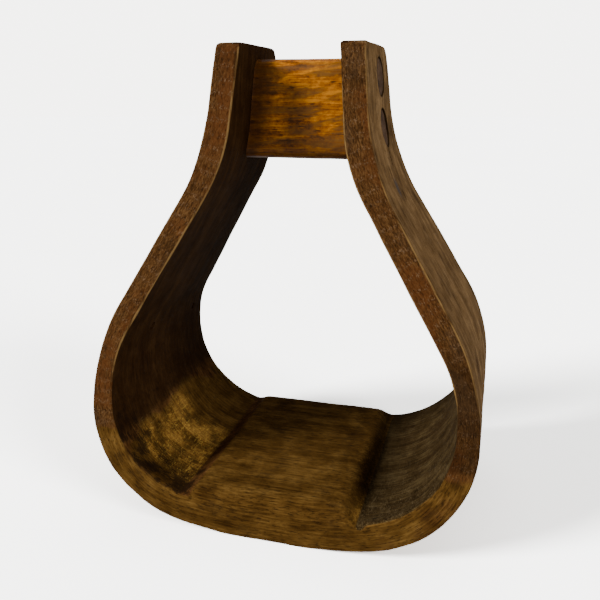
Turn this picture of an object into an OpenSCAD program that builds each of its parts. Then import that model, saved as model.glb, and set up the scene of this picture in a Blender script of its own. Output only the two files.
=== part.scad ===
// Bentwood stirrup. One thick plank is bent into a bell-shaped bow, and a
// wooden block (the transom) closes its narrow neck. Two bolts run through the
// neck and the block. Their ends sit in counterbores under wooden plugs.
//
// Frame: X across the stirrup, -Y is the front face, +Z up. The origin is on
// the ground in the middle of the tread's underside. All sizes in millimetres.

/* [Bow outline] */
// Overall height of the bow
bow_height = 204; // [200:1:212]
// Half-width of the flat strip under the tread
base_half_w = 20; // [12:1:26]
// Half-width of the sharp corner at the bottom, before rounding
low_corner_x = 84.6; // [84:0.1:85.4]
// Height of that corner
low_corner_z = 8.5; // [7:0.5:9]
// Half-width of the sharp corner where the side turns in towards the neck
side_corner_x = 82.4; // [82:0.1:83.4]
// Height of that corner
side_corner_z = 79; // [78.8:0.1:81]
// Half-width of the sharp corner where the side meets the neck
neck_corner_x = 34.9; // [34:0.1:35.6]
// Height of that corner
neck_corner_z = 158; // [156:0.5:160]
// Half-width of the neck at the very top
neck_top_x = 30.3; // [30:0.1:31]
// Radius of the slight bend at the edge of that flat strip
base_bend_r = 120; // [80:5:150]
// Radius of the bottom bend
low_bend_r = 51.5; // [46:0.5:51.5]
// Radius of the side bend
side_bend_r = 88; // [70:1:88]
// Radius of the hollow bend under the neck
neck_bend_r = 95; // [60:1:96]

/* [Wall thickness] */
// Thickness of the neck cheeks
neck_wall = 10.3; // [10:0.1:11]
// Thickness of the sloping sides
flank_wall = 9.6; // [9:0.1:10]
// Half-width between the insides of the sides, at their widest
inside_half_w = 74; // [73.2:0.1:74.6]
// Height of the scooped floor beside the tread
scoop_floor_z = 14.2; // [13.5:0.1:15]
// Inside radius of the bottom bend
scoop_r = 43.5; // [38:0.5:43.5]
// Inside radius of the side bend
side_inner_r = 55; // [45:1:55]
// Inside radius of the bend under the neck
neck_inner_r = 70; // [60:1:80]

/* [Tread] */
// Height of the raised tread
tread_top_z = 20; // [18:0.1:21]
// Width of the raised tread along X at its top
tread_w = 66; // [60:1:70]
// Distance of its middle to the left of centre
tread_offset = 2.3; // [0:0.1:5]
// Sideways run of the step down into each scoop
step_run = 7; // [4:0.5:8]
// Rounding of the front and back edges of the tread
tread_edge_r = 8; // [4:0.5:9]

/* [Depth, front to back] */
// Half-depth at the bottom
low_half_d = 54.5; // [52:0.5:56]
// Half-depth at the top of the neck
top_half_d = 24.8; // [24:0.1:27]
// Height at which the straight taper would reach the bottom's depth
taper_start_z = 31; // [28:0.5:45]
// Radius that blends the upright edge into the taper
taper_blend_r = 250; // [150:10:280]
// Rounding of the cheeks' front top corners, seen from the side
front_top_r = 3; // [1:0.5:5]
// Rounding of the cheeks' back top corners, seen from the side
back_top_r = 7; // [3:0.5:9]

/* [Transom] */
// Height of the underside, which the stirrup leather bears on
transom_low_z = 157; // [156:0.5:158]
// Height of the block
transom_h = 41.3; // [40:0.1:43]
// Thickness of the block, front to back
transom_d = 19; // [17:0.5:22]
// Distance of the block and the bolts behind the middle plane
transom_back = 4; // [0:0.5:5]
// Rounding of the block's long edges
transom_edge_r = 5; // [3:0.5:7]

/* [Bolts and plugs] */
// Height of the lower bolt
lower_bolt_z = 170.5; // [169:0.5:172]
// Height of the upper bolt
upper_bolt_z = 191; // [188:0.5:191]
// Bolt diameter
bolt_d = 6.35; // [6:0.05:6.5]
// Diameter of the holes for the bolts
bolt_hole_d = 6.7; // [6.6:0.05:7]
// Counterbore diameter
counterbore_d = 15.9; // [15.5:0.1:16.2]
// Wood left between the counterbore and the neck's inside
counterbore_floor = 3.2; // [2.8:0.1:3.6]
// Plug diameter
plug_d = 15.4; // [15:0.1:15.4]
// Washer diameter
washer_d = 15; // [13:0.1:15]
// Washer thickness
washer_t = 1.2; // [1:0.1:1.4]
// Bolt head diameter
head_d = 12; // [11:0.1:13]
// Thickness of the bolt head and of the nut
head_t = 3.2; // [2.8:0.1:3.4]
// Width of the square nut across its flats
nut_w = 10.4; // [9.5:0.1:10.6]

/* [Hidden] */
$fn = 96;

// More than the bow measures in any direction, for cutting shapes
reach = 300;
// How far the outlines run past the bow's top and base, which are then cut off
margin = 20;
// How far a piece runs into the one that it is joined to
overlap = 0.5;
// How far the tread's block reaches below the scoops' floor
tread_sunk = 2;
// How far the flats of a bend may lie inside its true arc
arc_tolerance = 0.02;
// Gap between a bolt and the washer or nut around it
bolt_gap = 0.05;
// Screwdriver slot in the bolt heads
slot_w = 1.5;
slot_depth = 1.4;

// Colours
bow_colour = [0.36, 0.22, 0.13];
transom_colour = [0.76, 0.45, 0.12];
plug_colour = [0.33, 0.25, 0.19];
steel_colour = [0.42, 0.40, 0.37];

// A level line above the bow. The front outlines run up to it, and the side
// view cuts the bow's real top.
past_top = level_line(bow_height + margin);
neck_outer = [[neck_top_x, bow_height], [neck_corner_x, neck_corner_z]];

// Corners of the outer line on the right-hand side, from the middle of the
// underside up to the top of the neck, each as [x, z, bend radius].
outer_corners = [
    [0, 0, 0],
    [base_half_w, 0, base_bend_r],
    [low_corner_x, low_corner_z, low_bend_r],
    [side_corner_x, side_corner_z, side_bend_r],
    [neck_corner_x, neck_corner_z, neck_bend_r],
    concat(crossing(neck_outer, past_top), 0),
];

// The neck and flank lines of the outside, moved in by the wall thickness.
neck_inner = shifted_line(neck_outer[0], neck_outer[1], neck_wall);
flank_inner = shifted_line(
    [neck_corner_x, neck_corner_z], [side_corner_x, side_corner_z], flank_wall);
side_inner = [[inside_half_w, side_corner_z], [inside_half_w, 0]];

// Corners of the inner line, from the middle of the scoops' floor upwards.
inner_corners = [
    [0, scoop_floor_z, 0],
    concat(crossing(side_inner, level_line(scoop_floor_z)), scoop_r),
    concat(crossing(flank_inner, side_inner), side_inner_r),
    concat(crossing(neck_inner, flank_inner), neck_inner_r),
    concat(crossing(neck_inner, past_top), 0),
];

// ---------------------------------------------------------------- geometry

function unit(v) = v / norm(v);
function xz(c) = [c[0], c[1]];

// Two points on the level line at height z.
function level_line(z) = [[0, z], [1, z]];

// The line through a and b, moved by t to the right of the way from a to b.
// Going down the right-hand side of the bow, that is towards its inside.
function shifted_line(a, b, t) =
    let (u = unit(b - a), n = [u[1], -u[0]])
    [a + n * t, b + n * t];

// Where two lines cross, each given by two points.
function crossing(l, m) =
    let (
        p = l[0], r = l[1] - l[0],
        q = m[0], s = m[1] - m[0],
        k = cross(q - p, s) / cross(r, s)
    )
    p + r * k;

// The points along the bend at corner i, from one tangent point to the other.
function bend_points(corners, i) =
    let (
        p = xz(corners[i]),
        back = unit(xz(corners[i - 1]) - p),
        on = unit(xz(corners[i + 1]) - p),
        half = acos(back * on) / 2,
        r = corners[i][2],
        centre = p + unit(back + on) * r / sin(half),
        from = p + back * r / tan(half) - centre,
        swing = (cross(back, on) < 0 ? 1 : -1) * (180 - 2 * half),
        steps = ceil(abs(swing) / (2 * acos(1 - arc_tolerance / r)))
    )
    [for (k = [0 : steps]) centre + turned(from, swing * k / steps)];

function turned(v, angle) =
    [v[0] * cos(angle) - v[1] * sin(angle), v[0] * sin(angle) + v[1] * cos(angle)];

// The line through all corners, with each bend rounded.
function rounded(corners) = [
    for (i = [0 : len(corners) - 1])
        each (corners[i][2] > 0 ? bend_points(corners, i) : [xz(corners[i])])
];

function reversed(list) = [for (i = [len(list) - 1 : -1 : 0]) list[i]];
function mirrored(points) = [for (p = points) [-p[0], p[1]]];

// A closed shape across the Z axis, from the corners of its right half and of
// its left half. Both run from one point on the axis to another.
module outline(right, left) {
    far = reversed(mirrored(rounded(left)));
    polygon(concat(rounded(right), [for (i = [1 : len(far) - 2]) far[i]]));
}

// The strip between two open lines, mirrored about the Z axis. Both lines
// start on the axis and end at the same height.
module strip(outer, inner) {
    right_out = rounded(outer);
    right_in = reversed(rounded(inner));
    polygon(concat(
        right_out,
        right_in,
        [for (i = [1 : len(right_in) - 1]) mirrored(reversed(right_in))[i]],
        [for (i = [0 : len(right_out) - 2]) mirrored(reversed(right_out))[i]]
    ));
}

// Turns a drawing in X and Z into a solid that runs along Y.
module along_y(depth) {
    translate([0, depth / 2, 0]) rotate([90, 0, 0]) linear_extrude(depth) children();
}

// Turns a drawing in Y and Z into a solid that runs along X.
module along_x(width) {
    translate([-width / 2, 0, 0]) rotate([90, 0, 90]) linear_extrude(width) children();
}

// A rod along X from one x to another.
module rod_x(d, from_x, to_x) {
    translate([from_x, 0, 0]) rotate([0, 90, 0]) cylinder(d = d, h = to_x - from_x);
}

// -------------------------------------------------------------------- bow

// The space inside a line, closed across the top.
module space_inside(corners) {
    closed = concat(corners, [[0, past_top[0][1], 0]]);
    along_y(reach) outline(closed, closed);
}

// Side view of the bow: upright at the bottom, then an even taper to the top.
// Each corner is [y, z, radius].
side_corners = [
    [0, -margin, 0],
    [low_half_d, -margin, 0],
    [low_half_d, taper_start_z, taper_blend_r],
    [top_half_d, bow_height, back_top_r],
    [0, bow_height, 0],
];
front_side_corners = [
    for (i = [0 : len(side_corners) - 1])
        i == 3 ? [top_half_d, bow_height, front_top_r] : side_corners[i]
];

// The raised tread, seen from the front: a flat top and two sloping steps.
module tread_front_view() {
    foot = scoop_floor_z - tread_sunk;
    run = step_run * (tread_top_z - foot) / (tread_top_z - scoop_floor_z);
    half = tread_w / 2;
    translate([-tread_offset, 0])
        polygon([
            [-half - run, foot],
            [half + run, foot],
            [half, tread_top_z],
            [-half, tread_top_z],
        ]);
}

// The raised tread, seen from the side, with rounded front and back edges.
tread_side_corners = [
    [0, 0, 0],
    [low_half_d, 0, 0],
    [low_half_d, tread_top_z, tread_edge_r],
    [0, tread_top_z, 0],
];

module tread() {
    intersection() {
        along_y(reach) tread_front_view();
        along_x(reach) outline(tread_side_corners, tread_side_corners);
    }
}

module bent_plank() {
    intersection() {
        along_x(reach) outline(side_corners, front_side_corners);
        along_y(reach) strip(outer_corners, inner_corners);
    }
}

module bow() {
    color(bow_colour)
    difference() {
        union() {
            bent_plank();
            tread();
        }
        for (z = [lower_bolt_z, upper_bolt_z])
            translate([0, transom_back, z]) {
                rod_x(bolt_hole_d, -reach / 2, reach / 2);
                for (side = [0, 1])
                    mirror([side, 0, 0]) rod_x(counterbore_d, seat_x(z), reach / 2);
            }
    }
}

// --------------------------------------------------------------- transom

// Section of the block in Y and Z.
transom_corners = [
    [0, transom_low_z, 0],
    [transom_d / 2, transom_low_z, transom_edge_r],
    [transom_d / 2, transom_low_z + transom_h, transom_edge_r],
    [0, transom_low_z + transom_h, 0],
];

// The block's ends follow the inside of the neck.
module transom() {
    color(transom_colour)
    difference() {
        intersection() {
            translate([0, transom_back, 0])
                along_x(reach) outline(transom_corners, transom_corners);
            space_inside(inner_corners);
        }
        for (z = [lower_bolt_z, upper_bolt_z])
            translate([0, transom_back, z]) rod_x(bolt_hole_d, -reach / 2, reach / 2);
    }
}

// ---------------------------------------------------------- bolts and plugs

// Half of the neck's inside width at height z, on its straight part.
function neck_inside_x(z) =
    let (a = neck_inner[0], b = neck_inner[1])
    a[0] + (b[0] - a[0]) * (z - a[1]) / (b[1] - a[1]);

// The floor of the counterbores at height z.
function seat_x(z) = neck_inside_x(z) + counterbore_floor;

// A slotted round head on the right and a plain end on the left.
module bolt(z) {
    seat = seat_x(z) + washer_t;
    color(steel_colour)
    translate([0, transom_back, z])
        difference() {
            union() {
                rod_x(bolt_d, -seat - head_t, seat + overlap);
                rod_x(head_d, seat, seat + head_t);
            }
            translate([seat + head_t - slot_depth, -head_d, -slot_w / 2])
                cube([slot_depth + overlap, 2 * head_d, slot_w]);
        }
}

module bolt_nut(z) {
    seat = seat_x(z) + washer_t;
    color(steel_colour)
    translate([0, transom_back, z])
        difference() {
            translate([-seat - head_t, -nut_w / 2, -nut_w / 2]) cube([head_t, nut_w, nut_w]);
            rod_x(bolt_d + 2 * bolt_gap, -reach / 2, 0);
        }
}

// side is 1 for the right cheek and -1 for the left.
module washer(z, side) {
    color(steel_colour)
    translate([0, transom_back, z])
        mirror([side < 0 ? 1 : 0, 0, 0])
            difference() {
                rod_x(washer_d, seat_x(z), seat_x(z) + washer_t);
                rod_x(bolt_hole_d, 0, reach / 2);
            }
}

// A thin disc over the bolt's end, cut off flush with the cheek.
module plug(z, side) {
    color(plug_colour)
    mirror([side < 0 ? 1 : 0, 0, 0])
        intersection() {
            translate([0, transom_back, z])
                rod_x(plug_d, seat_x(z) + washer_t + head_t, reach / 2);
            space_inside(outer_corners);
        }
}

bow();
transom();
bolt(upper_bolt_z);  // upper_bolt
bolt(lower_bolt_z);  // lower_bolt
bolt_nut(upper_bolt_z);  // upper_bolt_nut
bolt_nut(lower_bolt_z);  // lower_bolt_nut
washer(upper_bolt_z, 1);  // upper_head_washer
washer(upper_bolt_z, -1);  // upper_nut_washer
washer(lower_bolt_z, 1);  // lower_head_washer
washer(lower_bolt_z, -1);  // lower_nut_washer
plug(upper_bolt_z, 1);  // right_upper_plug
plug(lower_bolt_z, 1);  // right_lower_plug
plug(upper_bolt_z, -1);  // left_upper_plug
plug(lower_bolt_z, -1);  // left_lower_plug
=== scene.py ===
"""A bentwood stirrup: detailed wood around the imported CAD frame.

Lengths are worked out in millimetres and turned into metres when a mesh is
made. The frame is the CAD's: X across the stirrup, -Y its front, +Z up.
"""

import math

import bmesh
import bpy
import numpy as np
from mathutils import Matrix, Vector, noise


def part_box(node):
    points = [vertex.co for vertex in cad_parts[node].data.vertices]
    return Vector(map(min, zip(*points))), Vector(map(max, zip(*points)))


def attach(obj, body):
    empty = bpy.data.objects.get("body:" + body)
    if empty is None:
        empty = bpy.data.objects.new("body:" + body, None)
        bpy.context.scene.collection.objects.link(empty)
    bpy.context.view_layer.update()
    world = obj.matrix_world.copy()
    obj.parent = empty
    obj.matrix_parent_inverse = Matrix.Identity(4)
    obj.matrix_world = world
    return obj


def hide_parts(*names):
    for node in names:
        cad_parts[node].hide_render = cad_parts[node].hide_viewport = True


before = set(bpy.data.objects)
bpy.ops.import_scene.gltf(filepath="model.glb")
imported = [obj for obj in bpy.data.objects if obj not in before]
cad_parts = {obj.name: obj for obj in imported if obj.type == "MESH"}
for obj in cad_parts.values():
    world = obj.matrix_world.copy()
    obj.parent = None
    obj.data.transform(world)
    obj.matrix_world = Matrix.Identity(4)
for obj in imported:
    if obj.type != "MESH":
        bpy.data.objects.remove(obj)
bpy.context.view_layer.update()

MM = 0.001

# ------------------------------------------------------------------ sizes

HEIGHT = 204.0
BASE_THICKNESS = 14.2
# Corners of the bow's outer line, from the middle of the base to past the
# top of the neck: x, z and the radius of the bend.
OUTER_CORNERS = [
    (0.0, 0.0, 0.0),
    (20.0, 0.0, 120.0),
    (84.6, 8.5, 51.5),
    (82.4, 79.0, 88.0),
    (34.9, 158.0, 95.0),
    (28.3, 224.0, 0.0),
]
# The same for its inner line. The raised tread is added on top of it.
INNER_CORNERS = [
    (0.0, BASE_THICKNESS, 0.0),
    (74.0, BASE_THICKNESS, 43.5),
    (74.0, 74.3, 55.0),
    (24.7, 156.4, 70.0),
    (17.9, 224.0, 0.0),
]
LOW_HALF_DEPTH = 54.5
TOP_HALF_DEPTH = 24.8
TAPER_START_Z = 31.0
TAPER_BLEND_R = 250.0
FRONT_TOP_R = 3.0
BACK_TOP_R = 7.0
END_ROUNDING = 1.2
END_ROWS = 4
# Above this height the bow only narrows, so a height gives one half-width.
NECK_FROM_Z = 80.0
# The sections turn level between these heights, to meet the flat tops.
LEVEL_START_Z, LEVEL_END_Z = 172.0, 196.0

TREAD_TOP = 20.0
TREAD_LEFT = -35.3
TREAD_RIGHT = 30.7
LEFT_STEP_RUN = 8.6
RIGHT_STEP_RUN = 6.0
STEP_DROP = 5.8
TREAD_EDGE_R = 7.5
SCOOP_LIP = 1.8
SCOOP_CORNER_R = 6.0
SCOOP_BACK_RISE = 2.0
SCOOP_TOP_Z, SCOOP_FULL_Z = 30.0, 12.0
# Sections that face up at least this much can carry the tread.
TREAD_SLOPE_LIMIT = 0.45
TREAD_BLEND = 1.1

TRANSOM_EDGE_R = 5.0
TRANSOM_BULGE = 0.06
TRANSOM_STATIONS = 64
PLUG_GAP = 0.15

STATION_STEP = 1.25
FACE_POINTS = 74
EDGE_POINTS = 7
ARC_POINTS = 5

# The floor's colour and the world's strength as the camera sees them, well over
# what lights the wood, so that the backdrop looks near white.
FLOOR_GLOW = 5.2
WORLD_LIGHT, WORLD_GLOW = 0.12, 5.6
FLOOR_Z = -0.05
FLOOR_RINGS = (30.0, 120.0, 400.0, 6000.0)
FLOOR_POINTS = 96

# Degrees, then metres, and the lens in millimetres.
CAMERA_AZIMUTH, CAMERA_ELEVATION = 15.6, 16.3
CAMERA_DISTANCE = 0.3265
CAMERA_AIM = (-0.0022, 0.0, 0.0926)
CAMERA_LENS = 42.35


def mm_box(node):
    """A CAD node's lowest and highest corner in millimetres."""
    low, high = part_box(node)
    return np.array(low) / MM, np.array(high) / MM


def middle_yz(node):
    """The middle of a CAD node, seen along X, in millimetres."""
    low, high = mm_box(node)
    return (low[1] + high[1]) / 2, (low[2] + high[2]) / 2


def seat_and_side(node):
    """How far out a CAD node begins, and 1 or -1 for the right or left cheek."""
    low, high = mm_box(node)
    return min(abs(low[0]), abs(high[0])), 1 if low[0] > 0 else -1


# --------------------------------------------------------------- small maths

def smooth_step(start, end, x):
    """0 at start and beyond, 1 at end and beyond, and a soft rise between."""
    t = np.clip((x - start) / (end - start), 0.0, 1.0)
    return t * t * (3.0 - 2.0 * t)


def soft_max(a, b, width):
    """The larger of two, with the change from one to the other rounded."""
    return 0.5 * (a + b + np.sqrt((a - b) ** 2 + width ** 2))


def soft_ramp(d, width):
    """Zero for negative d, then a straight rise, with a soft start."""
    return 0.5 * (d + np.sqrt(d * d + width * width))


def field(points, size, seed, detail=3):
    """Smooth noise between about -1 and 1 at each point, with blobs of that size."""
    offset = Vector((seed * 7.31, seed * 3.17, seed * 5.73))
    return np.array([
        noise.fractal(Vector(p) + offset, 1.0, 2.0, detail) for p in points / size
    ])


def rounded_line(corners, step=0.4):
    """The line through the corners, with each bend an arc."""
    line = [np.array(corners[0][:2])]
    for before, (x, z, r), after in zip(corners, corners[1:], corners[2:]):
        p = np.array((x, z))
        back = np.array(before[:2]) - p
        on = np.array(after[:2]) - p
        back /= np.linalg.norm(back)
        on /= np.linalg.norm(on)
        half = math.acos(np.clip(back @ on, -1, 1)) / 2
        middle = (back + on) / np.linalg.norm(back + on)
        centre = p + middle * r / math.sin(half)
        start = p + back * r / math.tan(half) - centre
        swing = math.pi - 2 * half
        if back[0] * on[1] - back[1] * on[0] > 0:
            swing = -swing
        for a in np.linspace(0, swing, max(3, int(abs(swing) * r / step))):
            c, s = math.cos(a), math.sin(a)
            line.append(centre + (c * start[0] - s * start[1], s * start[0] + c * start[1]))
    line.append(np.array(corners[-1][:2]))
    return np.array(line)


def along(line):
    """Distance from the line's start to each of its points."""
    return np.concatenate([[0], np.cumsum(np.linalg.norm(np.diff(line, axis=0), axis=1))])


def resampled(line, distances):
    """The points at the given distances along a line."""
    d = along(line)
    return np.column_stack([np.interp(distances, d, line[:, k]) for k in (0, 1)])


def cut_at_height(line, z):
    """The part of a rising line below height z, with its last point at z."""
    keep = line[line[:, 1] < z]
    nxt = line[len(keep)]
    t = (z - keep[-1, 1]) / (nxt[1] - keep[-1, 1])
    return np.vstack([keep, keep[-1] + t * (nxt - keep[-1])])


# ------------------------------------------------------------ the bow's shape

OUTER_LINE = rounded_line(OUTER_CORNERS)
INNER_LINE = rounded_line(INNER_CORNERS)


def half_depth(z):
    """Half of the bow's depth at height z: upright, then an even taper."""
    angle = math.atan((LOW_HALF_DEPTH - TOP_HALF_DEPTH) / (HEIGHT - TAPER_START_Z))
    reach = TAPER_BLEND_R * math.tan(angle / 2)
    blend_start = TAPER_START_Z - reach
    blend_end = TAPER_START_Z + reach * math.cos(angle)
    straight = LOW_HALF_DEPTH - np.maximum(z - TAPER_START_Z, 0) * math.tan(angle)
    into = np.clip(z - blend_start, 0, blend_end - blend_start)
    arc = LOW_HALF_DEPTH - TAPER_BLEND_R + np.sqrt(TAPER_BLEND_R ** 2 - into ** 2)
    return np.where((z > blend_start) & (z < blend_end), arc, straight)


def edge_depth(z, back):
    """Half-depth at the front or the back, with the cheeks' rounded corners."""
    r = np.where(back, BACK_TOP_R, FRONT_TOP_R)
    over = np.clip(z - (HEIGHT - r), 0, r)
    return half_depth(z) - (r - np.sqrt(np.maximum(r * r - over * over, 0)))


def neck_inside(z):
    """Half of the inside width at height z, above the widest part."""
    upper = INNER_LINE[INNER_LINE[:, 1] > NECK_FROM_Z]
    return np.interp(z, upper[:, 1], upper[:, 0])


def neck_outside(z):
    """Half of the outside width at height z, above the widest part."""
    upper = OUTER_LINE[OUTER_LINE[:, 1] > NECK_FROM_Z]
    return np.interp(z, upper[:, 1], upper[:, 0])


def stations():
    """Points along the outer line from the left top to the right top, with
    the direction through the thickness and the distance from the middle."""
    half = cut_at_height(OUTER_LINE, HEIGHT - END_ROUNDING)
    length = along(half)[-1]
    count = int(length / STATION_STEP)
    s = np.linspace(0, length, count + 1)
    right = resampled(half, s)
    ahead = resampled(half, np.minimum(s + 0.5, length))
    behind = resampled(half, np.maximum(s - 0.5, 0))
    tangent = ahead - behind
    tangent[0] = (1, 0)
    tangent /= np.linalg.norm(tangent, axis=1)[:, None]
    inward = np.column_stack([-tangent[:, 1], tangent[:, 0]])
    level = smooth_step(LEVEL_START_Z, LEVEL_END_Z, right[:, 1])[:, None]
    inward = inward * (1 - level) + np.array([-1.0, 0.0]) * level
    inward /= np.linalg.norm(inward, axis=1)[:, None]
    flip = np.array([-1.0, 1.0])
    line = np.vstack([right[:0:-1] * flip, right])
    through = np.vstack([inward[:0:-1] * flip, inward])
    return line, through, np.concatenate([-s[:0:-1], s])


def thickness_to_inner_line(line, through):
    """How far each ray from the outer line runs before it meets the inner line."""
    start, end = INNER_LINE[:-1], INNER_LINE[1:]
    step = end - start
    result = []
    # Both halves are worked out on the right, where the inner line is.
    mirror = np.where(line[:, :1] < 0, -1, 1) * [1, 0] + [0, 1]
    for p, d in zip(line * mirror, through * mirror):
        det = d[0] * step[:, 1] - d[1] * step[:, 0]
        rel = start - p
        with np.errstate(divide="ignore", invalid="ignore"):
            t = (rel[:, 0] * step[:, 1] - rel[:, 1] * step[:, 0]) / det
            u = (rel[:, 0] * d[1] - rel[:, 1] * d[0]) / det
        hits = t[(u >= -1e-6) & (u <= 1 + 1e-6) & (t > 1)]
        result.append(hits.min())
    return np.array(result)


def tread_height(x, y):
    """Height of the raised tread, falling away steeply beyond its shoulders."""
    # The hand-cut edges wander, and the middle is worn down by boots.
    wave = 0.5 * np.sin(y / 9.0) + 0.4 * np.sin(y / 23.0 + 1.0)
    # The hollow on the right ends at the front in a rounded corner.
    short = np.clip(SCOOP_CORNER_R - (y + LOW_HALF_DEPTH), 0, SCOOP_CORNER_R)
    corner = SCOOP_CORNER_R - np.sqrt(SCOOP_CORNER_R ** 2 - short ** 2)
    right_edge = TREAD_RIGHT + 0.6 * wave + corner
    left_edge = TREAD_LEFT + 0.3 * wave
    right = soft_ramp(x - right_edge, 1.6) * STEP_DROP / RIGHT_STEP_RUN
    left = soft_ramp(left_edge - x, 0.8) * STEP_DROP / LEFT_STEP_RUN
    worn = 0.5 * np.exp(-((x + 4) / 26) ** 2 - (y / 34) ** 2)
    return TREAD_TOP - right - left - worn


class BowShape:
    """The bow as a grid: stations along the plank, points round its section."""

    def __init__(self):
        self.line, self.through, self.s = stations()
        self.plain = thickness_to_inner_line(self.line, self.through)
        self.half = half_depth(self.line[:, 1])

    def thickness(self, y):
        """Thickness at each station for an array of y, one row per station."""
        line, through = self.line, self.through
        x0, z0 = line[:, :1], line[:, 1:]
        dx, dz = through[:, :1], through[:, 1:]
        plain = self.plain[:, None] * np.ones_like(y)
        # The scoops' floors rise a little towards the back.
        low = smooth_step(SCOOP_TOP_Z, SCOOP_FULL_Z, z0)
        plain = plain + low * SCOOP_BACK_RISE * smooth_step(8, 52, y)
        # They are also a little hollow behind a lip along the front.
        plain = plain + low * SCOOP_LIP * (smooth_step(-44, -53, y) - 0.5)
        bottom = dz > TREAD_SLOPE_LIMIT
        safe_dz = np.where(bottom, dz, 1.0)
        raised = plain.copy()
        # Each ray's height on the tread is found in a few rounds.
        for _ in range(4):
            raised = (tread_height(x0 + dx * raised, y) - z0) / safe_dz
            raised = np.clip(raised, 0, 30)
        raised = np.where(bottom, raised, 0)
        return np.where(bottom, soft_max(plain, raised, TREAD_BLEND), plain)

    def arris_radii(self):
        """Rounding of each station's long edges: outer, inner front, inner back.

        The tread's front and back are rounded the more the higher it stands
        above the scoops."""
        path = np.column_stack([self.s, 0 * self.s, 0 * self.s])
        outer = np.clip(1.1 + 0.5 * field(path, 14, 1), 0.5, 2)
        inner = np.clip(1.0 + 0.4 * field(path, 11, 2), 0.5, 2)
        inner = inner + 0.8 * smooth_step(50, 20, self.line[:, 1])
        radii = [outer[:, None]]
        for side in (-1, 1):
            edge = side * self.half[:, None]
            raised = self.thickness(edge)[:, 0] - self.plain
            share = np.clip((raised - 0.4) / (TREAD_TOP - BASE_THICKNESS - 1.6), 0, 1)
            radii.append((inner + (TREAD_EDGE_R - inner) * share)[:, None])
        return radii

    def section(self):
        """Across (y) and through (b) for every point of every section."""
        r_out, r_front, r_back = self.arris_radii()
        half = self.half[:, None]
        ramp = np.linspace(0, 1, FACE_POINTS)[None]
        turn = (np.arange(1, ARC_POINTS + 1) / (ARC_POINTS + 1))[None] * math.pi / 2
        rise = np.linspace(0, 1, EDGE_POINTS)[None]
        one = np.ones_like(half)

        parts = []
        # Outer face, back to front, then the outer front arris.
        y = (half - r_out) * (1 - 2 * ramp)
        parts.append((y, 0 * y))
        parts.append((-half + r_out * (1 - np.sin(turn)), r_out * (1 - np.cos(turn))))
        # Front face, outer to inner, then the inner front arris.
        front = self.thickness(-half)
        b = r_out + (front - r_front - r_out) * rise
        parts.append((-half * one + 0 * b, b))
        y = -half + r_front * (1 - np.cos(turn))
        parts.append((y, self.thickness(y) - r_front * (1 - np.sin(turn))))
        # Inner face, front to back, and on round the back.
        y = -half + r_front + (2 * half - r_front - r_back) * ramp
        parts.append((y, self.thickness(y)))
        y = half - r_back * (1 - np.sin(turn))
        parts.append((y, self.thickness(y) - r_back * (1 - np.cos(turn))))
        back = self.thickness(half)
        b = back - r_back + (r_out - back + r_back) * rise
        parts.append((half * one + 0 * b, b))
        y = half - r_out * (1 - np.cos(turn))
        parts.append((y, r_out * (1 - np.sin(turn))))
        return (np.concatenate([p[0] for p in parts], axis=1),
                np.concatenate([p[1] for p in parts], axis=1))

    def points(self):
        """All points in millimetres, as rows of stations by section points."""
        y, b = self.section()
        x = self.line[:, :1] + self.through[:, :1] * b
        z = self.line[:, 1:] + self.through[:, 1:] * b
        y = y / self.half[:, None] * edge_depth(z, y > 0)
        grid = np.stack([x, y, z], axis=2)
        return np.concatenate([self.end_rows(grid[0])[::-1], grid, self.end_rows(grid[-1])])

    def end_rows(self, ring):
        """Extra rings that round off the top of a cheek."""
        rows = []
        middle_x = ring[:, 0].mean()
        span_x = np.ptp(ring[:, 0]) / 2
        for k in range(1, END_ROWS + 1):
            a = k / END_ROWS * math.pi / 2
            inset = END_ROUNDING * (1 - math.cos(a))
            row = ring.copy()
            row[:, 0] = middle_x + (ring[:, 0] - middle_x) * (1 - inset / span_x)
            z = HEIGHT - END_ROUNDING * (1 - math.sin(a))
            depth = edge_depth(np.full(len(ring), z), ring[:, 1] > 0)
            base = edge_depth(ring[:, 2], ring[:, 1] > 0)
            row[:, 1] = ring[:, 1] * (np.maximum(depth, base * 0.7) - inset) / base
            row[:, 2] = z
            rows.append(row)
        return np.array(rows)


def grid_faces(rows, count):
    """Quads round a tube of rings of points."""
    i, j = np.meshgrid(np.arange(rows - 1), np.arange(count), indexing="ij")
    k = (j + 1) % count
    a, b = i * count + j, i * count + k
    quads = np.stack([a, b, b + count, a + count], axis=2).reshape(-1, 4)
    return quads.tolist()


def end_faces(rows, count):
    """A flat many-sided face at each end of a tube of rings."""
    last = (rows - 1) * count
    return [list(range(count)), [last + v for v in reversed(range(count))]]


def cap_faces(first, reverse):
    """Fills a section ring: strips between the outer and inner faces, and a
    many-sided face at the front and at the back."""
    inner_start = FACE_POINTS + 2 * ARC_POINTS + EDGE_POINTS
    total = 2 * inner_start
    faces = []
    for j in range(FACE_POINTS - 1):
        p, q = inner_start + FACE_POINTS - 1 - j, inner_start + FACE_POINTS - 2 - j
        faces.append([j, j + 1, q, p])
    faces.append(list(range(FACE_POINTS - 1, inner_start + 1)))
    faces.append(list(range(inner_start + FACE_POINTS - 1, total)) + [0])
    faces = [[first + v for v in f] for f in faces]
    return [f[::-1] for f in faces] if reverse else faces


def new_object(name, points, faces, material):
    """A mesh object from points in millimetres."""
    mesh = bpy.data.meshes.new(name)
    mesh.from_pydata((np.asarray(points) * MM).tolist(), [], faces)
    mesh.update()
    made = bpy.data.objects.new(name, mesh)
    bpy.context.scene.collection.objects.link(made)
    if material:
        mesh.materials.append(material)
    return made


def face_outwards(obj):
    """Turns all faces of a closed mesh outwards."""
    work = bmesh.new()
    work.from_mesh(obj.data)
    bmesh.ops.recalc_face_normals(work, faces=work.faces)
    work.to_mesh(obj.data)
    work.free()


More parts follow.
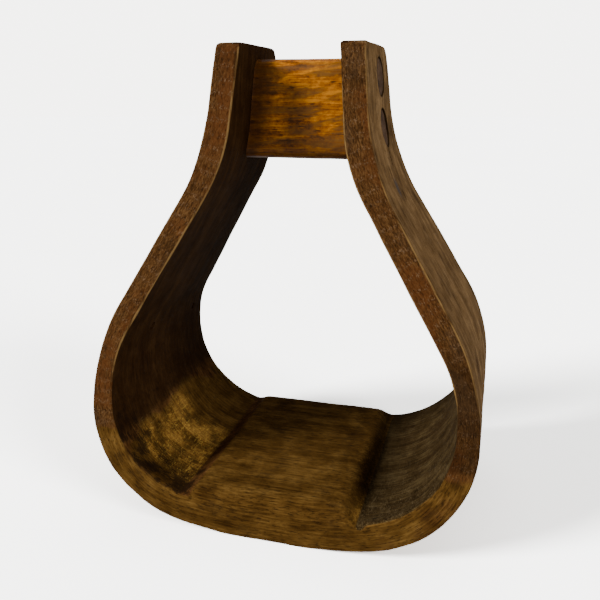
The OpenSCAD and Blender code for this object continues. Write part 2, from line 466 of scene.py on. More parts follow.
def soften(obj, angle=38):
    """Smooth shading that keeps edges sharper than the angle."""
    obj.data.shade_smooth()
    obj.data.set_sharp_from_angle(angle=math.radians(angle))


def coordinates(mesh):
    flat = np.empty(len(mesh.vertices) * 3)
    mesh.vertices.foreach_get("co", flat)
    return flat.reshape(-1, 3)


def vertex_normals(mesh):
    flat = np.empty(len(mesh.vertices) * 3)
    mesh.vertex_normals.foreach_get("vector", flat)
    return flat.reshape(-1, 3)


def store(mesh, name, values):
    """Keeps a number or a vector with each vertex, for the materials."""
    kind = "FLOAT" if values.ndim == 1 else "FLOAT_VECTOR"
    key = "value" if values.ndim == 1 else "vector"
    layer = mesh.attributes.new(name, kind, "POINT")
    layer.data.foreach_set(key, values.astype(np.float32).ravel())


def subtract(obj, cutter):
    """Cuts the cutter out of obj and removes the cutter."""
    step = obj.modifiers.new("cut", "BOOLEAN")
    step.object = cutter
    step.operation = "DIFFERENCE"
    step.solver = "EXACT"
    bpy.context.view_layer.objects.active = obj
    bpy.ops.object.modifier_apply(modifier=step.name)
    bpy.data.objects.remove(cutter, do_unlink=True)


# ------------------------------------------------------------ bolts' holes

BOLT_HOLE_R = 3.35
COUNTERBORE_R = 7.95
WASHERS = ("upper_head_washer", "lower_head_washer", "upper_nut_washer", "lower_nut_washer")


def cutter(points, faces):
    """A closed solid to cut with."""
    made = new_object("cutter", points, faces, None)
    face_outwards(made)
    return made


def ring_points(radius, count, wobble, seed):
    """A slightly uneven circle in the YZ plane."""
    a = np.arange(count) / count * 2 * math.pi
    circle = np.column_stack([0 * a, np.cos(a), np.sin(a)])
    r = radius * (1 + wobble * field(circle, 0.9, seed, 2))
    return circle * r[:, None]


def turned_cutter(profile, centre_y, centre_z, wobble=0.0, seed=1):
    """A solid to cut with, round a line along X, from (x, radius) pairs."""
    count = 56
    points = []
    for x, r in profile:
        ring = ring_points(r, count, wobble, seed)
        points.append(ring + (x, centre_y, centre_z))
    faces = grid_faces(len(profile), count) + end_faces(len(profile), count)
    return cutter(np.vstack(points), faces)


def bolt_cutters():
    """One cutter for each end of each bolt: a counterbore and a hole."""
    cutters = []
    for washer in WASHERS:
        seat, side = seat_and_side(washer)
        y, z = middle_yz(washer)
        profile = [(side * 5, BOLT_HOLE_R), (side * seat, BOLT_HOLE_R),
                   (side * seat, COUNTERBORE_R), (side * 60, COUNTERBORE_R + 0.05)]
        cutters.append(turned_cutter(profile, y, z, wobble=0.006, seed=len(cutters) + 3))
    return cutters


def wedge_cut(points, width, direction, depth):
    """A thin crack along the points that runs in along direction.

    It is widest and deepest half way, and starts outside the surface."""
    points = np.array(points, float)
    direction = np.array(direction, float)
    n = len(points)
    rows = []
    for k, p in enumerate(points):
        t = k / (n - 1)
        along_crack = points[min(k + 1, n - 1)] - points[max(k - 1, 0)]
        side = np.cross(along_crack, direction)
        side /= np.linalg.norm(side)
        w = width * max(0.08, math.sin(math.pi * t)) / 2
        top = p - direction * 3
        bottom = p + direction * depth * max(0.2, math.sin(math.pi * t))
        rows.append([top - side * w * 2, top + side * w * 2, bottom + side * w * 0.3,
                     bottom - side * w * 0.3])
    faces = grid_faces(n, 4) + end_faces(n, 4)
    return cutter(np.array(rows).reshape(-1, 3), faces)


def pit(position, direction, radius, depth):
    """A short round-bottomed hole."""
    direction = np.array(direction, float)
    direction /= np.linalg.norm(direction)
    side = np.cross(direction, (0, 1, 0.2))
    side /= np.linalg.norm(side)
    up = np.cross(direction, side)
    points = []
    count = 12
    # Distance in, from outside the surface, and share of the radius there.
    rings = ((-2.5, 1.25), (0.2, 1.0), (depth * 0.7, 0.8), (depth, 0.35))
    for inwards, share in rings:
        spot = np.array(position) + direction * inwards
        for k in range(count):
            a = k / count * 2 * math.pi
            points.append(spot + (side * math.cos(a) + up * math.sin(a)) * radius * share)
    faces = grid_faces(len(rings), count) + end_faces(len(rings), count)
    return cutter(np.array(points), faces)


def joined(objects):
    """Makes one object of several and returns it."""
    bpy.ops.object.select_all(action="DESELECT")
    for o in objects:
        o.select_set(True)
    bpy.context.view_layer.objects.active = objects[0]
    bpy.ops.object.join()
    return objects[0]


# -------------------------------------------------------------- materials

# Numbers from 0 to 1 that are kept with the bow's vertices.
BOW_ZONES = ("gold", "grey", "olive", "dark", "dirt", "arris", "sawn", "iron", "scraped", "shade")


class Nodes:
    """Short calls for building a material's node tree."""

    def __init__(self, name):
        self.material = bpy.data.materials.new(name)
        self.material.use_nodes = True
        self.tree = self.material.node_tree
        self.shader = self.tree.nodes["Principled BSDF"]

    def new(self, kind, **settings):
        made = self.tree.nodes.new(kind)
        for key, value in settings.items():
            setattr(made, key, value)
        return made

    def link(self, source, target):
        self.tree.links.new(source, target)

    def feed(self, socket, value):
        if isinstance(value, bpy.types.NodeSocket):
            self.link(value, socket)
        else:
            socket.default_value = value

    def attribute(self, name, output="Fac"):
        return self.new("ShaderNodeAttribute", attribute_name=name).outputs[output]

    def stretched(self, vector, scale, offset=(0, 0, 0)):
        made = self.new("ShaderNodeMapping")
        self.link(vector, made.inputs["Vector"])
        made.inputs["Scale"].default_value = scale
        made.inputs["Location"].default_value = offset
        return made.outputs["Vector"]

    def noise(self, vector, scale=1.0, detail=4.0, roughness=0.55, distortion=0.0):
        made = self.new("ShaderNodeTexNoise")
        self.link(vector, made.inputs["Vector"])
        made.inputs["Scale"].default_value = scale
        made.inputs["Detail"].default_value = detail
        made.inputs["Roughness"].default_value = roughness
        made.inputs["Distortion"].default_value = distortion
        return made.outputs["Fac"]

    def maths(self, operation, a, b):
        made = self.new("ShaderNodeMath", operation=operation)
        self.feed(made.inputs[0], a)
        self.feed(made.inputs[1], b)
        return made.outputs[0]

    def times(self, a, b):
        return self.maths("MULTIPLY", a, b)

    def plus(self, a, b):
        return self.maths("ADD", a, b)

    def weighted(self, *terms):
        """The sum of values, each times its weight."""
        total = self.times(*terms[0])
        for value, weight in terms[1:]:
            total = self.plus(total, self.times(value, weight))
        return total

    def span(self, value, low, high, to_low=0.0, to_high=1.0):
        """A soft step from to_low at low to to_high at high."""
        made = self.new("ShaderNodeMapRange", interpolation_type="SMOOTHSTEP")
        self.feed(made.inputs["Value"], value)
        made.inputs["From Min"].default_value = low
        made.inputs["From Max"].default_value = high
        made.inputs["To Min"].default_value = to_low
        made.inputs["To Max"].default_value = to_high
        return made.outputs["Result"]

    def ramp(self, value, *stops):
        made = self.new("ShaderNodeValToRGB")
        elements = made.color_ramp.elements
        while len(elements) < len(stops):
            elements.new(0.5)
        for element, (position, colour) in zip(elements, stops):
            element.position = position
            element.color = (*colour, 1.0)
        self.link(value, made.inputs["Fac"])
        return made.outputs["Color"]

    def mix(self, factor, a, b, blend="MIX"):
        made = self.new("ShaderNodeMix", data_type="RGBA", blend_type=blend)
        self.feed(made.inputs["Factor"], factor)
        # The node's colour sockets share their names with its other kinds.
        colour_a, colour_b, colour_out = made.inputs[6], made.inputs[7], made.outputs[2]
        self.feed(colour_a, (*a, 1.0) if isinstance(a, tuple) else a)
        self.feed(colour_b, (*b, 1.0) if isinstance(b, tuple) else b)
        return colour_out

    def bump(self, height, distance, strength=1.0):
        made = self.new("ShaderNodeBump")
        made.inputs["Distance"].default_value = distance
        made.inputs["Strength"].default_value = strength
        self.link(height, made.inputs["Height"])
        return made.outputs["Normal"]


def patchy(n, mask, blotch, amount, sharpness=0.18):
    """A mask whose border is broken up by the blotches."""
    moved = n.plus(mask, n.times(n.plus(blotch, -0.5), amount))
    return n.span(moved, 0.5 - sharpness, 0.5 + sharpness)


def sawn_edge(n, strip, rough):
    """Colour of the plank's sawn edges, and the light flecks the saw left there."""
    patches = n.noise(n.stretched(strip, (0.30, 0.45, 0.45), (4, 8, 2)), detail=5)
    # The flecks stand in rows across the edge.
    rows = n.new("ShaderNodeTexWave", wave_type="BANDS", bands_direction="X")
    n.link(strip, rows.inputs["Vector"])
    rows.inputs["Scale"].default_value = 0.62
    rows.inputs["Distortion"].default_value = 1.6
    rows.inputs["Detail"].default_value = 2.0
    flecks = n.noise(n.stretched(strip, (9, 17, 17), (5, 5, 5)), detail=2, roughness=0.6)
    marks = n.times(n.span(rows.outputs["Fac"], 0.45, 0.9, 0.10, 1.0), n.span(flecks, 0.52, 0.64))
    edge = n.ramp(rough, (0.41, (0.022, 0.008, 0.002)), (0.50, (0.078, 0.032, 0.009)),
                  (0.60, (0.180, 0.088, 0.030)))
    edge = n.mix(n.times(n.span(patches, 0.50, 0.62), 0.55), edge, (0.120, 0.036, 0.009))
    edge = n.mix(n.times(n.span(patches, 0.48, 0.38), 0.40), edge, (0.060, 0.040, 0.022))
    edge = n.mix(n.times(marks, 0.60), edge, (0.260, 0.150, 0.075))
    return edge, marks


def plank_colour(n, zones, grain, edge, blotch):
    """Brown wood, sawn edges, ashen outside, olive right scoop and golden tread."""
    brown = n.ramp(grain, (0.40, (0.030, 0.010, 0.002)), (0.50, (0.095, 0.040, 0.011)),
                   (0.60, (0.190, 0.090, 0.028)))
    golden = n.ramp(grain, (0.40, (0.040, 0.017, 0.003)), (0.50, (0.100, 0.048, 0.010)),
                    (0.60, (0.185, 0.098, 0.024)))
    ashen = n.ramp(grain, (0.40, (0.058, 0.030, 0.011)), (0.50, (0.155, 0.086, 0.033)),
                   (0.60, (0.270, 0.163, 0.072)))
    olive = n.ramp(grain, (0.40, (0.018, 0.010, 0.003)), (0.50, (0.050, 0.029, 0.010)),
                   (0.60, (0.110, 0.074, 0.030)))
    colour = n.mix(n.times(zones["sawn"], 0.85), brown, edge)
    colour = n.mix(patchy(n, zones["grey"], blotch, 0.7), colour, ashen)
    colour = n.mix(patchy(n, zones["olive"], blotch, 0.5), colour, olive)
    return n.mix(patchy(n, zones["gold"], blotch, 0.8, 0.12), colour, golden)


def stains_and_shade(n, zones, colour, streaks, pores, blotch):
    """Lays old stains, open pores and the dark zone over the colour; the dark zone holds a dark
    finish and painted shade.
    """
    stain = n.span(n.weighted((blotch, 0.6), (streaks, 0.4)), 0.49, 0.36)
    colour = n.mix(n.times(stain, 0.60), colour, (0.026, 0.012, 0.004))
    colour = n.mix(n.times(n.span(pores, 0.41, 0.31), 0.60), colour, (0.018, 0.009, 0.004))
    # The dark zone: the right edges, knot and split, a dark finish on the upper inside, and
    # painted shade there, on the steps and round the plugs.
    dark = patchy(n, zones["dark"], blotch, 0.6)
    return n.mix(n.times(dark, 0.77), colour, (0.014, 0.006, 0.002))


def worn(n, zones, colour, strip, streaks, cloud, rough):
    """Lays wear, grime, rubbed arrises, a painted shadow at the right step's foot and the iron
    stain over it.
    """
    scrapes = n.noise(n.stretched(strip, (9, 2.6, 9), (3, 3, 8)), detail=5, roughness=0.7,
                      distortion=1.8)
    bared = n.mix(zones["gold"], (0.190, 0.136, 0.068), (0.400, 0.245, 0.055))
    scrape = n.times(zones["scraped"], n.span(scrapes, 0.50, 0.68))
    colour = n.mix(n.times(scrape, 0.60), colour, bared)
    # Where the golden wood is rubbed, it is brighter by this much.
    polished = n.times(n.times(zones["scraped"], zones["gold"]), n.span(cloud, 0.36, 0.58))
    colour = n.mix(polished, colour, (2.05, 2.0, 1.75), "MULTIPLY")
    clumps = n.weighted((rough, 0.6), (cloud, 0.4))
    grime = n.span(n.plus(n.times(zones["dirt"], 0.20), clumps), 0.60, 0.68)
    colour = n.mix(n.times(grime, 0.85), colour, (0.012, 0.006, 0.003))
    rubbed = n.times(n.span(zones["arris"], 0.45, 0.90), n.span(streaks, 0.32, 0.50, 0.15, 1.0))
    colour = n.mix(n.times(rubbed, 0.88), colour, (0.300, 0.175, 0.060))
    # Painted shadow at the foot of the right step.
    colour = n.mix(n.times(zones["shade"], 0.9), colour, (0.008, 0.004, 0.001))
    return n.mix(n.times(zones["iron"], 0.75), colour, (0.060, 0.056, 0.056))


def bow_material():
    """Old oiled plank: the grain runs along the strip, and wear, dirt and painted
    shade come from numbers that are kept with the vertices."""
    n = Nodes("bow_wood")
    strip = n.attribute("strip", "Vector")
    zones = {name: n.attribute(name) for name in BOW_ZONES}
    fibre = n.noise(n.stretched(strip, (0.7, 12, 12)), detail=6, roughness=0.75)
    bands = n.noise(n.stretched(strip, (0.10, 1.6, 1.6)), detail=5, distortion=0.6)
    cloud = n.noise(strip, scale=0.9, detail=5, roughness=0.6)
    streaks = n.noise(n.stretched(strip, (0.25, 6, 6), (7, 3, 1)), detail=4)
    pores = n.noise(n.stretched(strip, (3.0, 24, 24)), detail=2)
    blotch = n.noise(strip, scale=0.55, detail=6, roughness=0.65)
    speckle = n.noise(n.stretched(strip, (9, 24, 24)), detail=4, roughness=0.75, distortion=0.8)
    dashes = n.noise(n.stretched(strip, (2.4, 19, 19), (1, 6, 2)), detail=5, roughness=0.7)
    grain = n.weighted((bands, 0.24), (fibre, 0.46), (cloud, 0.30))
    rough = n.weighted((speckle, 0.45), (dashes, 0.55))

    edge, marks = sawn_edge(n, strip, rough)
    colour = plank_colour(n, zones, grain, edge, blotch)
    colour = stains_and_shade(n, zones, colour, streaks, pores, blotch)
    colour = worn(n, zones, colour, strip, streaks, cloud, rough)
    n.link(colour, n.shader.inputs["Base Color"])
    n.link(n.span(fibre, 0.3, 0.7, 0.70, 0.88), n.shader.inputs["Roughness"])
    n.shader.inputs["Specular IOR Level"].default_value = 0.015
    rough_edge = n.times(n.plus(speckle, marks), zones["sawn"])
    height = n.plus(n.plus(n.times(fibre, 0.5), rough_edge), n.span(pores, 0.30, 0.42))
    n.link(n.bump(height, 0.0004, 0.8), n.shader.inputs["Normal"])
    return n.material


def transom_material():
    """Amber varnish over streaky wood, with the grain along X and dark bands
    that slope a little."""
    n = Nodes("transom_wood")
    strip = n.attribute("strip", "Vector")
    shade = n.attribute("dark")
    fibre = n.noise(n.stretched(strip, (0.6, 12, 12)), detail=6, roughness=0.65)
    sloping = n.new("ShaderNodeMapping")
    n.link(strip, sloping.inputs["Vector"])
    sloping.inputs["Rotation"].default_value = (0, math.radians(7), 0)
    slope = sloping.outputs["Vector"]
    waves = n.noise(n.stretched(slope, (0.24, 1.5, 1.5), (3, 1, 4)), detail=4, distortion=0.9)
    flame = n.noise(n.stretched(slope, (0.7, 1.8, 1.8)), detail=4, distortion=1.0)
    marks = n.noise(n.stretched(strip, (1.1, 7, 7), (2, 9, 5)), detail=2)
    curl = n.noise(n.stretched(strip, (4.5, 6, 6), (8, 2, 2)), detail=4, roughness=0.65)
    grain = n.weighted((flame, 0.30), (fibre, 0.42), (curl, 0.28))
    amber = n.ramp(grain, (0.40, (0.090, 0.025, 0.002)), (0.48, (0.360, 0.105, 0.002)),
                   (0.59, (0.660, 0.240, 0.008)))
    band = n.times(n.span(waves, 0.49, 0.57), n.span(fibre, 0.35, 0.60, 0.45, 1.0))
    colour = n.mix(n.times(band, 0.72), amber, (0.085, 0.044, 0.014))
    colour = n.mix(n.times(n.span(marks, 0.35, 0.29), 0.85), colour, (0.025, 0.011, 0.004))
    # Painted shade from the dark numbers: the left cheek's shadow, shade where the block meets
    # the cheeks, and the shaded underside.
    colour = n.mix(shade, colour, (0.036, 0.011, 0.002))
    n.link(colour, n.shader.inputs["Base Color"])
    n.link(n.span(waves, 0.3, 0.7, 0.34, 0.50), n.shader.inputs["Roughness"])
    n.shader.inputs["Specular IOR Level"].default_value = 0.12
    n.shader.inputs["Coat Weight"].default_value = 0.05
    n.shader.inputs["Coat Roughness"].default_value = 0.25
    n.link(n.bump(n.plus(fibre, flame), 0.00025, 0.5), n.shader.inputs["Normal"])
    return n.material


def plug_material():
    """Greyed wood with upright grain, darkest round the rim, where the shade of the gap is
    painted.
    """
    n = Nodes("plug_wood")
    strip = n.attribute("strip", "Vector")
    rim = n.attribute("dark")
    fibre = n.noise(n.stretched(strip, (14, 14, 1.1)), detail=6, roughness=0.65)
    blotch = n.noise(strip, scale=2.2, detail=4)
    grain = n.weighted((fibre, 0.6), (blotch, 0.4))
    colour = n.ramp(grain, (0.38, (0.020, 0.009, 0.004)), (0.50, (0.064, 0.032, 0.015)),
                    (0.62, (0.130, 0.070, 0.035)))
    # Painted shade of the gap along the plug's rim.
    colour = n.mix(rim, colour, (0.012, 0.007, 0.004))
    n.link(colour, n.shader.inputs["Base Color"])
    n.shader.inputs["Roughness"].default_value = 0.7
    n.shader.inputs["Specular IOR Level"].default_value = 0.1
    n.link(n.bump(fibre, 0.0004, 0.8), n.shader.inputs["Normal"])
    return n.material


def steel_material():
    """Dull steel with brown spots."""
    n = Nodes("old_steel")
    place = n.new("ShaderNodeTexCoord").outputs["Object"]
    spots = n.noise(place, scale=420, detail=5, roughness=0.65)
    colour = n.ramp(spots, (0.35, (0.13, 0.09, 0.06)), (0.55, (0.28, 0.26, 0.24)),
                    (0.75, (0.40, 0.38, 0.36)))
    n.link(colour, n.shader.inputs["Base Color"])
    n.shader.inputs["Metallic"].default_value = 0.9
    n.link(n.span(spots, 0.3, 0.7, 0.6, 0.35), n.shader.inputs["Roughness"])
    n.link(n.bump(spots, 0.0001, 0.4), n.shader.inputs["Normal"])
    return n.material


# ------------------------------------------------------------------ pieces

def strip_position(points, shape):
    """For points in millimetres: distance along the plank, distance in from
    its outer face, and the nearest station."""
    flat = points[:, [0, 2]]
    nearest = np.empty(len(flat), int)
    # In batches, so that the table of distances stays small.
    batch = 4000
    for start in range(0, len(flat), batch):
        part = flat[start:start + batch]
        gap = ((part[:, None] - shape.line[None]) ** 2).sum(2)
        nearest[start:start + batch] = gap.argmin(1)
    rel = flat - shape.line[nearest]
    through = shape.through[nearest]
    inward = (rel * through).sum(1)
    sideways = rel[:, 0] * through[:, 1] - rel[:, 1] * through[:, 0]
    return shape.s[nearest] + sideways, inward, nearest


class BowPlace:
    """Where the bow's points lie on it, and how each kind of wear, stain and painted shade falls
    there.

    Every zone is a number from 0 to 1 for each point. Lengths are millimetres."""

    def __init__(self, points, shape):
        x, y, z = points.T
        self.x, self.y, self.z = x, y, z
        self.s, self.inward, nearest = strip_position(points, shape)
        self.from_side = half_depth(z) - np.abs(y)
        self.on_plate = (np.abs(x) < 36) & (z < 30)
        self.full = np.where(self.on_plate, TREAD_TOP - 1.0, shape.plain[nearest])
        self.blobs = field(points, 22, 5)
        self.fine = field(points, 6, 6)
        off_side = smooth_step(0.2, 1.2, self.from_side)
        share = self.inward / self.full
        self.inside = smooth_step(0.45, 0.7, share) * off_side
        self.outside = smooth_step(0.55, 0.3, share) * off_side
        self.right_outside = self.outside * (x > 0)
        self.side = smooth_step(1.6, 0.4, self.from_side)
        # Low on the front and back the saw marks give way to golden wood.
        low_edge = np.where(x < 0, 44.0, 42.0)
        self.low_rim = smooth_step(4.0, -4.0, z - low_edge - 5 * self.blobs)
        self.sawn = self.side * (1 - self.low_rim)
        self.left_scoop = self.inside * (x < -42) * smooth_step(42, 32, z + 7 * self.blobs)
        self.right_scoop = self.inside * smooth_step(32, 38, x) * smooth_step(90, 40, z)
        self.steps = self.inside * (z < 24)

    def arris(self):
        """The long edges, less on the lower half, and not along the tread."""
        full, inward = self.full, self.inward
        outer = np.hypot(np.maximum(inward, 0), self.from_side)
        inner = np.hypot(full - inward, self.from_side)
        nearest = np.minimum(outer, np.where(self.on_plate, 9, inner))
        return smooth_step(1.3, 0.35, nearest) * (1 - 0.55 * smooth_step(78, 58, self.z))

    def gold(self):
        """The low rims, the tread with its rounded front, and the left scoop."""
        x, y = self.x, self.y
        rims = self.side * self.low_rim * (0.8 - 0.22 * smooth_step(25, 45, x))
        tread = self.inside * self.on_plate * (0.85 + 0.15 * smooth_step(0, 20, x))
        scoop = self.left_scoop * (1.0 - 0.4 * smooth_step(-38, -50, y))
        front = (np.abs(x) < 37) * smooth_step(12, 2, self.from_side) * (self.z < 24) * 0.75
        return np.maximum.reduce([rims, tread, scoop, front])

    def dark(self):
        """The upper inside (dark finish with painted shade), painted shade on the steps, the
        right edges, plug rims, knot and split.
        """
        x, y, z = self.x, self.y, self.z
        # The upper inside is darker both from its dark finish and from painted shade.
        starts = np.where(x < 0, 28, 40)
        flanks = self.inside * smooth_step(starts, starts + 16, z) * 0.72
        # Painted shade on the faces of both steps.
        left_step = smooth_step(-34.6, -36.2, x) * smooth_step(-46.5, -43, x)
        right_step = smooth_step(31.5, 34.5, x) * smooth_step(50, 34.5, x)
        steps = left_step * 0.36 + right_step * 0.40 * smooth_step(-50, -34, y)
        patch = np.exp(-(((z - 39) / 5) ** 2 + ((x - 75) / 4) ** 2)) * (y < -50) * 0.5
        edges = self.sawn * (x > 0) * (0.36 + 0.20 * smooth_step(110, 60, z))
        return np.maximum.reduce([flanks, self.steps * steps, patch, edges,
                                  self.plug_rims() * 0.7, self.knot() * 0.8, self.split() * 0.85])

    def plug_rims(self):
        """Painted shade of the gap round each plug's hole: a thin dark ring."""
        centres = [middle_yz(washer) for washer in WASHERS]
        ring = np.minimum.reduce([np.hypot(self.y - y, self.z - z) for y, z in centres])
        line = np.exp(-((ring - COUNTERBORE_R - 0.05) / 0.45) ** 2)
        return self.outside * line * (self.z > 150)

    def spot(self, y, z, half_y, half_z, ragged=1.0):
        """A mark on the right cheek's outer face."""
        off = ((self.z - z) / half_z) ** 2 + ((self.y - y) / half_y) ** 2
        return np.exp(-(off * ragged) ** 2) * self.right_outside

    def iron(self):
        """A grey stain, perhaps from a nail head."""
        return self.spot(-7.0, 147.0, 3.0, 3.6, 1 + 0.35 * self.fine)

    def knot(self):
        return self.spot(1.0, 143.0, 1.6, 3.0, 1 + 0.35 * self.fine)

    def split(self):
        return self.spot(2.0, 158.0, 0.9, 4.6)

    def dirt(self):
        """Grime in the left scoop's front corner and behind the right one's lip."""
        corner = self.inside * smooth_step(-35, -40, self.x) * smooth_step(-14, -46, self.y)
        corner = corner * smooth_step(60, 36, self.z) * (0.85 + 0.6 * self.fine)
        lip = 0.35 * self.right_scoop * smooth_step(-30, -48, self.y)
        return np.clip(corner + lip, 0, 1)

    def scraped(self):
        """Wear in the scoops: the right one's front, and the middle of the left."""
        y = self.y
        right = self.right_scoop * (0.3 + 0.7 * smooth_step(0, -45, y))
        left = self.left_scoop * smooth_step(-46, -38, y) * smooth_step(16, 2, y)
        return np.maximum(right, left)

    def shade(self):
        """Painted shadow at the foot of the right step, behind its front corner."""
        step = smooth_step(31.5, 34.5, self.x) * smooth_step(54, 34.5, self.x)
        return self.steps * step * 0.62 * smooth_step(-48, -22, self.y)


def keep_zones(mesh, shape):
    """Keeps the numbers for the bow's material with its vertices."""
    place = BowPlace(coordinates(mesh) / MM, shape)
    store(mesh, "strip", np.column_stack([place.s, place.y, place.inward]) / 10)
    zones = {
        "gold": place.gold(),
        "grey": place.outside * 0.72,
        "olive": place.right_scoop,
        "dark": place.dark(),
        "dirt": place.dirt(),
        "arris": place.arris(),
        "sawn": place.sawn,
        "iron": place.iron(),
        "scraped": place.scraped(),
        "shade": place.shade(),
    }
    for name in BOW_ZONES:
        store(mesh, name, zones[name])


def push_out(mesh, distance):
    """Moves each vertex along its normal, in millimetres, but not below the ground."""
    p = coordinates(mesh) / MM + vertex_normals(mesh) * distance[:, None]
    p[:, 2] = np.maximum(p[:, 2], 0.0)
    mesh.vertices.foreach_set("co", (p * MM).ravel())
    mesh.update()


def roughen_bow(mesh, shape):
    """Hand-worked surface: slow waves, and finer unevenness on the sawn sides."""
    p = coordinates(mesh) / MM
    s, inward, _ = strip_position(p, shape)
    along_grain = np.column_stack([s / 7, p[:, 1], inward])
    side = smooth_step(0.6, 0.9, np.abs(vertex_normals(mesh)[:, 1]))
    waves = 0.22 * field(p, 26, 11, 2) + 0.07 * field(along_grain, 2.6, 12, 3)
    push_out(mesh, waves + side * 0.10 * field(p, 3.0, 13, 3) - 0.12)


def wear_cutters():
    """Old nail holes, and a split under the lower right plug."""
    holes = [
        pit((82.0, 5.0, 84.0), (-1, 0, -0.1), 1.0, 3),
        pit((-71.8, -15.0, 79.0), (-1, 0, 0.2), 1.9, 5),
        pit((-72.4, 35.0, 74.0), (-1, 0, 0.1), 1.7, 5),
        pit((-34.6, -2.0, 148.0), (-1, 0, 0.4), 0.6, 2),
    ]
    path = ((162.0, 2.5), (160.0, 2.76), (158.0, 2.12), (155.5, 1.32), (153.5, 1.68))
    split = [(neck_outside(z), y, z) for z, y in path]
    return holes + [wedge_cut(split, 1.3, (-1, 0, 0), 1.6)]


def make_bow(material):
    """The bent plank with its raised tread."""
    shape = BowShape()
    grid = shape.points()
    rows, count = grid.shape[:2]
    faces = grid_faces(rows, count)
    faces += cap_faces(0, False) + cap_faces((rows - 1) * count, True)
    bow = new_object("bentwood_bow", grid.reshape(-1, 3), faces, material)
    face_outwards(bow)
    roughen_bow(bow.data, shape)
    subtract(bow, joined(bolt_cutters() + wear_cutters()))
    soften(bow)
    keep_zones(bow.data, shape)
    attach(bow, "root")
    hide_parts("bow")


def transom_section():
    """Outline of the block seen along X: a slightly convex rounded oblong."""
    low, high = mm_box("transom")
    half_y, half_z = (high[1] - low[1]) / 2, (high[2] - low[2]) / 2
    corner_steps = 12
    outline = []
    for quarter, (cy, cz) in enumerate(((1, 1), (-1, 1), (-1, -1), (1, -1))):
        for k in range(corner_steps + 1):
            a = (quarter + k / corner_steps) * math.pi / 2
            outline.append((cy * (half_y - TRANSOM_EDGE_R) + TRANSOM_EDGE_R * math.cos(a),
                            cz * (half_z - TRANSOM_EDGE_R) + TRANSOM_EDGE_R * math.sin(a)))
    outline = np.array(outline + outline[:1])
    outline = resampled(outline, np.arange(0, along(outline)[-1] - 0.4, 0.8))
    outline[:, 0] *= 1 - TRANSOM_BULGE * (outline[:, 1] / half_z) ** 2
    return outline + middle_yz("transom")


def roughen_transom(mesh):
    """Slow waves and fine grain, but not where the block meets the cheeks."""
    p = coordinates(mesh) / MM
    inner = np.abs(p[:, 0]) < neck_inside(p[:, 2]) - 0.5
    waves = 0.12 * field(p, 17, 21, 2) + 0.05 * field(p / (6, 1, 1), 1.7, 22)
    push_out(mesh, (waves - 0.1) * inner)


def make_transom(material):
    """A block with rounded long edges whose ends follow the inside of the neck."""
    section = transom_section()
    y, z = section.T
    reach = neck_inside(z) - 0.05
    rows = [np.column_stack([t * reach, y, z]) for t in np.linspace(-1, 1, TRANSOM_STATIONS)]
    count = len(section)
    faces = grid_faces(len(rows), count) + end_faces(len(rows), count)
    block = new_object("transom_block", np.vstack(rows), faces, material)
    face_outwards(block)
    roughen_transom(block.data)
    bore = [(-60, BOLT_HOLE_R), (60, BOLT_HOLE_R)]
    holes = [turned_cutter(bore, *middle_yz(bolt)) for bolt in ("upper_bolt", "lower_bolt")]
    subtract(block, joined(holes))
    soften(block)
    # Painted shade: darker by the cheeks, most of all the left one, whose shadow falls on the
    # block's left end, and darker below, on the underside.
    p = coordinates(block.data) / MM
    to_cheek = neck_inside(p[:, 2]) - np.abs(p[:, 0])
    near_left = smooth_step(13.0, 3.0, to_cheek) * (p[:, 0] < 0) * 0.85
    at_ends = smooth_step(1.5, 0.0, to_cheek) * 0.8
    below = smooth_step(167, 157.5, p[:, 2]) * 0.75
    store(block.data, "strip", p / 10)
    store(block.data, "dark", np.maximum.reduce([at_ends, near_left, below]))
    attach(block, "root")
    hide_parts("transom")


def make_plug(node, material, sink, tilt):
    """A thin wooden disc, a little below the cheek's surface and worn at its rim."""
    base, side = seat_and_side(node)
    y0, z0 = middle_yz(node)
    low, high = mm_box(node)
    radius = (high[2] - low[2]) / 2 - PLUG_GAP
    count = 72
    # Share of the radius and drop below the top, from the rim to the middle.
    worn_rim = [(1.0, 0.6), (0.985, 0.18), (0.95, 0.05)]
    flat = [(share, 0.0) for share in (0.85, 0.7, 0.5, 0.3, 0.12)]
    rings = worn_rim + flat
    rows = []
    for share, drop in [(1.0, None)] + rings:
        ring = ring_points(radius * share, count, 0.006, len(node))
        y, z = ring[:, 1] + y0, ring[:, 2] + z0
        surface = neck_outside(z) - sink + tilt * (y - y0) / radius
        x = np.full(count, base) if drop is None else surface - drop
        rows.append(np.column_stack([side * x, y, z]))
    p = np.vstack(rows)
    top = np.arange(len(p)) >= count
    p[:, 0] += side * top * 0.10 * field(p / (1, 1, 5), 1.6, 31)
    faces = grid_faces(len(rows), count) + end_faces(len(rows), count)
    plug = new_object(node + "_wood", p, faces, material)
    face_outwards(plug)
    soften(plug, 50)
    p = coordinates(plug.data) / MM
    off = np.hypot(p[:, 1] - y0, p[:, 2] - z0) / radius
    store(plug.data, "strip", p / 10)
    # Painted shade of the gap along the rim.
    store(plug.data, "dark", smooth_step(0.93, 1.0, off) * 0.9)
    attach(plug, "root")
    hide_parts(node)


def paint_hardware(material):
    """The bolts, nuts and washers stay as their CAD nodes."""
    for node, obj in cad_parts.items():
        if "bolt" in node or "washer" in node:
            obj.data.materials.clear()
            obj.data.materials.append(material)


# ------------------------------------------------------------------- stage

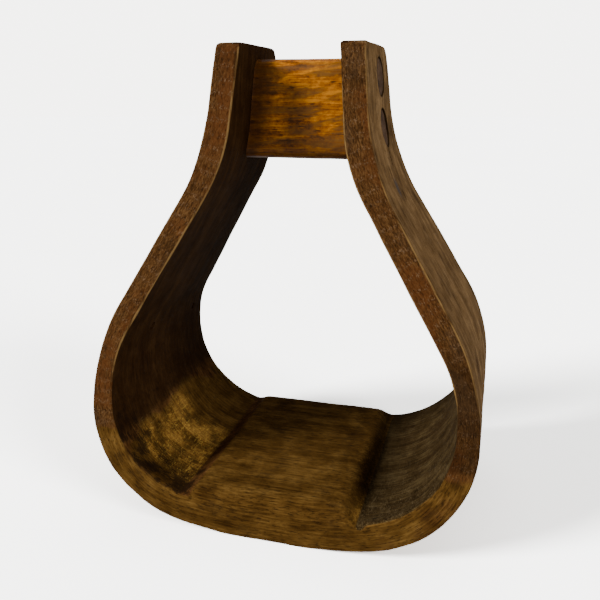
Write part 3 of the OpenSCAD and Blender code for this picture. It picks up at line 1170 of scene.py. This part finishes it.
def make_floor():
    """A large round pale floor.

    It is brighter for the camera than for the light it throws on the wood."""
    n = Nodes("pale_floor")
    place = n.new("ShaderNodeTexCoord").outputs["Object"]
    tone = n.noise(place, scale=3.0, detail=2)
    seen = n.ramp(tone, (0.3, (0.97, 0.97, 0.95)), (0.7, (1.0, 1.0, 0.985)))
    brighter = n.mix(1.0, seen, (FLOOR_GLOW, FLOOR_GLOW, FLOOR_GLOW), "MULTIPLY")
    ray = n.new("ShaderNodeLightPath").outputs["Is Camera Ray"]
    matt = n.new("ShaderNodeBsdfDiffuse")
    n.link(n.mix(ray, (0.72, 0.72, 0.70), brighter), matt.inputs["Color"])
    n.link(matt.outputs["BSDF"], n.tree.nodes["Material Output"].inputs["Surface"])
    angles = np.arange(FLOOR_POINTS) / FLOOR_POINTS * 2 * math.pi
    rim = np.column_stack([np.cos(angles), np.sin(angles), 0 * angles])
    rows = [rim * r + (0, 0, FLOOR_Z) for r in FLOOR_RINGS]
    faces = grid_faces(len(rows), FLOOR_POINTS) + [list(range(FLOOR_POINTS))]
    floor = new_object("floor", np.vstack(rows), faces, n.material)


def make_sun(name, strength, softness, direction):
    """A soft distant light that comes from the given direction."""
    lamp = bpy.data.lights.new(name, "SUN")
    lamp.energy = strength
    lamp.angle = math.radians(softness)
    holder = bpy.data.objects.new(name, lamp)
    holder.rotation_euler = Vector(direction).to_track_quat("Z", "Y").to_euler()
    bpy.context.scene.collection.objects.link(holder)


def make_lights():
    """A weak even world, brighter for the camera only, and three soft suns."""
    world = bpy.data.worlds.new("studio")
    world.use_nodes = True
    tree = world.node_tree
    background = tree.nodes["Background"]
    background.inputs["Color"].default_value = (1.0, 0.985, 0.95, 1)
    ray = tree.nodes.new("ShaderNodeLightPath")
    strength = tree.nodes.new("ShaderNodeMapRange")
    strength.inputs["To Min"].default_value = WORLD_LIGHT
    strength.inputs["To Max"].default_value = WORLD_GLOW
    tree.links.new(ray.outputs["Is Camera Ray"], strength.inputs["Value"])
    tree.links.new(strength.outputs["Result"], background.inputs["Strength"])
    bpy.context.scene.world = world
    make_sun("key", 3.5, 18, (-0.80, -0.66, 0.62))
    make_sun("fill", 1.8, 24, (0.92, -0.48, 0.52))
    make_sun("top", 0.5, 60, (0.10, 0.55, 1.00))


def make_camera():
    """Looks at the middle of the stirrup from the front right, a little above."""
    azimuth, elevation = math.radians(CAMERA_AZIMUTH), math.radians(CAMERA_ELEVATION)
    back = Vector((math.sin(azimuth) * math.cos(elevation),
                   -math.cos(azimuth) * math.cos(elevation),
                   math.sin(elevation)))
    lens = bpy.data.cameras.new("camera")
    lens.lens = CAMERA_LENS
    lens.sensor_width = 36.0
    lens.clip_start = 0.01
    holder = bpy.data.objects.new("camera", lens)
    holder.location = Vector(CAMERA_AIM) + back * CAMERA_DISTANCE
    holder.rotation_mode = "QUATERNION"
    holder.rotation_quaternion = (-back).to_track_quat("-Z", "Y")
    bpy.context.scene.collection.objects.link(holder)
    bpy.context.scene.camera = holder


# -------------------------------------------------------------------- scene

make_bow(bow_material())
make_transom(transom_material())
plug_wood = plug_material()
make_plug("right_upper_plug", plug_wood, sink=0.35, tilt=0.10)
make_plug("right_lower_plug", plug_wood, sink=0.45, tilt=-0.25)
make_plug("left_upper_plug", plug_wood, sink=0.30, tilt=0.0)
make_plug("left_lower_plug", plug_wood, sink=0.40, tilt=0.15)
paint_hardware(steel_material())
make_floor()
make_lights()
make_camera()
